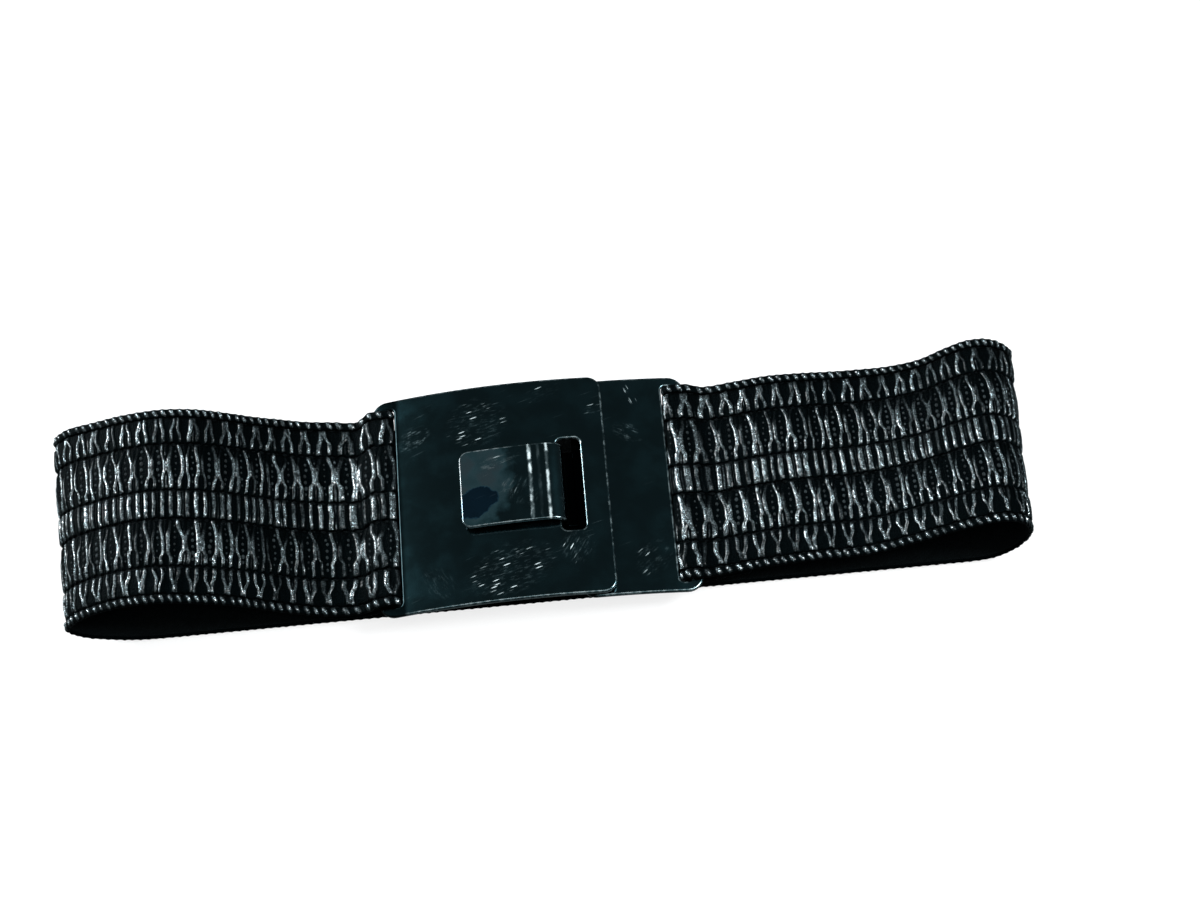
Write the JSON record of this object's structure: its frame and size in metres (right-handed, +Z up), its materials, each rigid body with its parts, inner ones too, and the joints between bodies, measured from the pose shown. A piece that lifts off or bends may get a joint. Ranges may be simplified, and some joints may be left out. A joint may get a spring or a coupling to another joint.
{
  "type": "elastic belt",
  "caption": "Wide ribbed elastic stretch belt, fastened by a two-piece arched metal plate buckle with a tongue through a slot, lying flattened as a loop.",
  "frame": {"origin": "centre of the belt's footprint, on the surface it lies on", "axes": "+X along the belt towards the hook plate's side, +Y across the strap away from the viewer, +Z up from the surface"},
  "size_m": [0.3568, 0.0858, 0.0387],
  "materials": {
    "elastic": "glossy black ribbed elastic",
    "front_metal": "polished dark gunmetal, scratched",
    "hook_metal": "polished dark gunmetal, scratched"
  },
  "bodies": {
    "root": {"elastic_strap": "elastic", "front_plate": "front_metal", "hook_plate": "hook_metal"}
  },
  "joints": []
}
